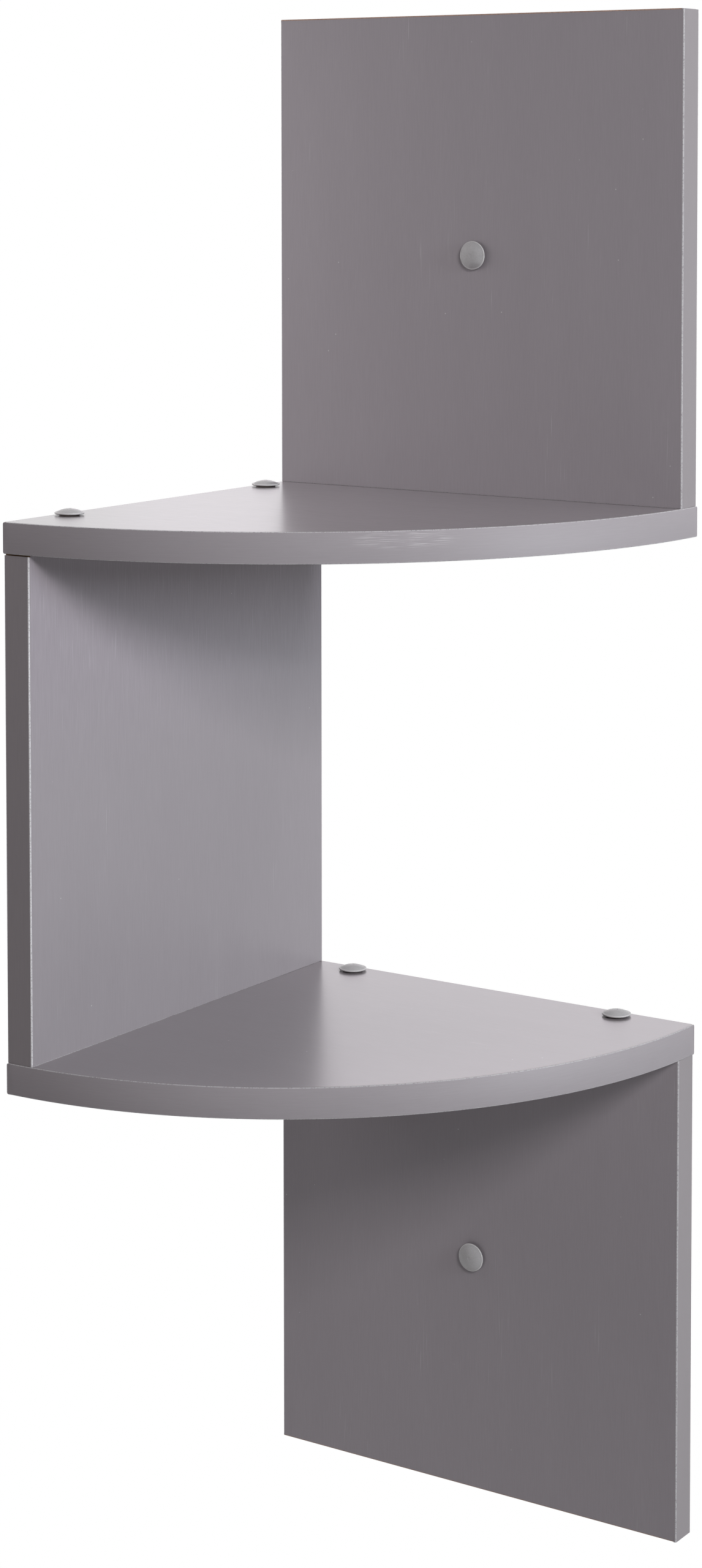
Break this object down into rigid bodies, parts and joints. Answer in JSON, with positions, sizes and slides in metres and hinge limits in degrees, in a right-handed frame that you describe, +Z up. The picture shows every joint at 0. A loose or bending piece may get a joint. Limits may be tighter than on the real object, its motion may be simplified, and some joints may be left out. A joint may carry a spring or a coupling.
{
  "type": "corner shelf unit",
  "caption": "Wall-hung zig-zag corner shelf: square wall panels on alternating walls carry quarter-round shelves, screwed together under push-on caps.",
  "frame": {"origin": "on the right wall's plane, midway between the two wall screws; the room's corner line is 95.75 mm from it along -X", "axes": "+X along the right wall away from the room's corner, +Y into the right wall, +Z up; the left wall is the plane X = -95.75 mm"},
  "size_m": [0.1919, 0.225, 0.6076],
  "materials": {
    "grey_board": "fibreboard under satin grey foil with a fine brushed grain",
    "grey_edge_band": "satin grey edge strip with a paler trimmed corner",
    "zinc_steel": "zinc-plated steel, passivated dark brown",
    "grey_cap": "moulded grey plastic"
  },
  "bodies": {
    "root": {"lower_panel": "grey_board", "middle_panel": "grey_board", "upper_panel": "grey_board", "lower_shelf": "grey_board", "upper_shelf": "grey_board", "lower_shelf_band": "grey_edge_band", "upper_shelf_band": "grey_edge_band", "lower_panel_front_band": "grey_edge_band", "middle_panel_front_band": "grey_edge_band", "upper_panel_front_band": "grey_edge_band", "lower_panel_bottom_band": "grey_edge_band", "upper_panel_top_band": "grey_edge_band", "upper_shelf_top_screw_corner": "zinc_steel", "upper_shelf_top_screw_front": "zinc_steel", "upper_shelf_under_screw_corner": "zinc_steel", "upper_shelf_under_screw_front": "zinc_steel", "lower_shelf_top_screw_corner": "zinc_steel", "lower_shelf_top_screw_front": "zinc_steel", "lower_shelf_under_screw_corner": "zinc_steel", "lower_shelf_under_screw_front": "zinc_steel", "upper_wall_screw": "zinc_steel", "lower_wall_screw": "zinc_steel", "upper_shelf_top_cap_corner": "grey_cap", "upper_shelf_top_cap_front": "grey_cap", "upper_shelf_under_cap_corner": "grey_cap", "upper_shelf_under_cap_front": "grey_cap", "lower_shelf_top_cap_corner": "grey_cap", "lower_shelf_top_cap_front": "grey_cap", "lower_shelf_under_cap_corner": "grey_cap", "lower_shelf_under_cap_front": "grey_cap", "upper_wall_cap": "grey_cap", "lower_wall_cap": "grey_cap"}
  },
  "joints": []
}
